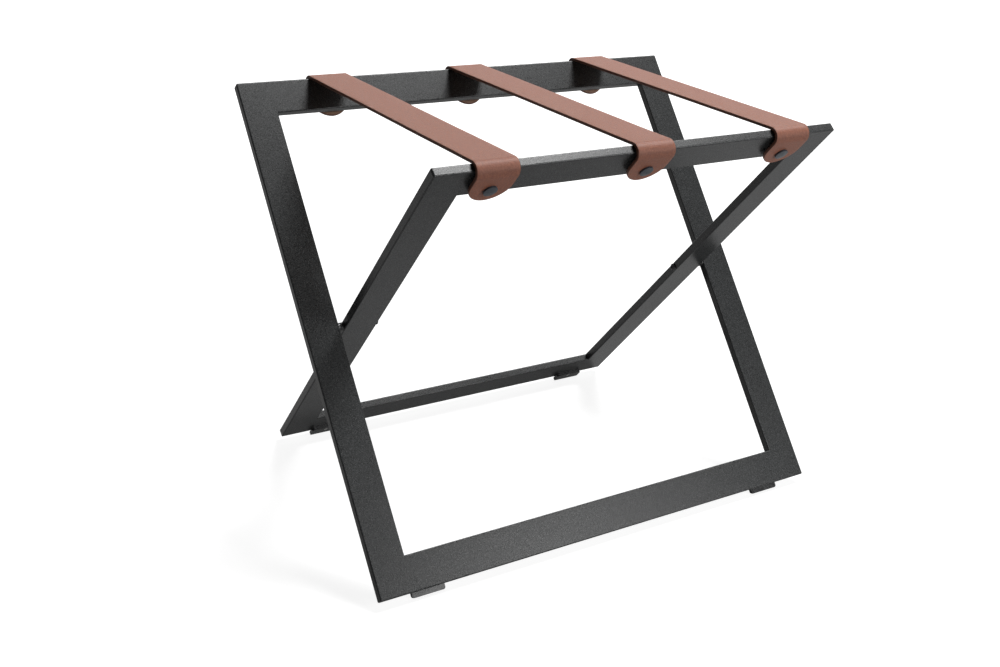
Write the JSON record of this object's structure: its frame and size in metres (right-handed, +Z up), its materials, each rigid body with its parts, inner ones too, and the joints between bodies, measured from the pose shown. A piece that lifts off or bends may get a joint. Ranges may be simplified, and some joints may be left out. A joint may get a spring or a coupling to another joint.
{
  "type": "folding luggage bench",
  "caption": "Folding luggage rack of flat steel tube frames crossed on side pivots, with leather straps stretched between the top rails to carry a suitcase.",
  "frame": {"origin": "on the floor, under the middle of the pivot line, with the bench open", "axes": "+X to the right along the rails as seen from the front, +Y to the back (from the narrower frame's top rail to the wider frame's), +Z up"},
  "size_m": [0.6, 0.4014, 0.4747],
  "materials": {
    "frame_coating": "fine-texture matt powder coat, anthracite",
    "strap_leather": "smooth brown belt leather with raw dark edges",
    "rivet_black": "smooth black, slightly glossy",
    "bolt_black": "black-oxide steel, satin",
    "bare_steel": "zinc plated",
    "spacer_plastic": "moulded, matt black",
    "foot_plastic": "moulded, matt black",
    "screw_steel": "bright zinc plated"
  },
  "bodies": {
    "outer_frame": {"outer_left_leg": "frame_coating", "outer_right_leg": "frame_coating", "outer_top_rail": "frame_coating", "outer_bottom_rail": "frame_coating", "left_pivot_bolt": "bolt_black", "right_pivot_bolt": "bolt_black", "left_pivot_insert": "bare_steel", "right_pivot_insert": "bare_steel", "left_pivot_spacer": "spacer_plastic", "right_pivot_spacer": "spacer_plastic", "left_strap": "strap_leather", "middle_strap": "strap_leather", "right_strap": "strap_leather", "left_strap_back_rivet": "rivet_black", "middle_strap_back_rivet": "rivet_black", "right_strap_back_rivet": "rivet_black", "front_left_foot": "foot_plastic", "front_right_foot": "foot_plastic", "front_foot_screws": "screw_steel"},
    "inner_frame": {"inner_left_leg": "frame_coating", "inner_right_leg": "frame_coating", "inner_top_rail": "frame_coating", "inner_bottom_rail": "frame_coating", "left_pivot_sleeve": "bare_steel", "right_pivot_sleeve": "bare_steel", "left_strap_front_rivet": "rivet_black", "middle_strap_front_rivet": "rivet_black", "right_strap_front_rivet": "rivet_black", "back_left_foot": "foot_plastic", "back_right_foot": "foot_plastic", "back_foot_screws": "screw_steel"}
  },
  "joints": [
    {"name": "fold", "type": "hinge", "parent": "outer_frame", "child": "inner_frame", "pos_m": [0, 0, 0.23902], "axis": [-1, 0, 0], "range_deg": [0, 75.5], "deforming": ["left_strap", "middle_strap", "right_strap"]}
  ]
}
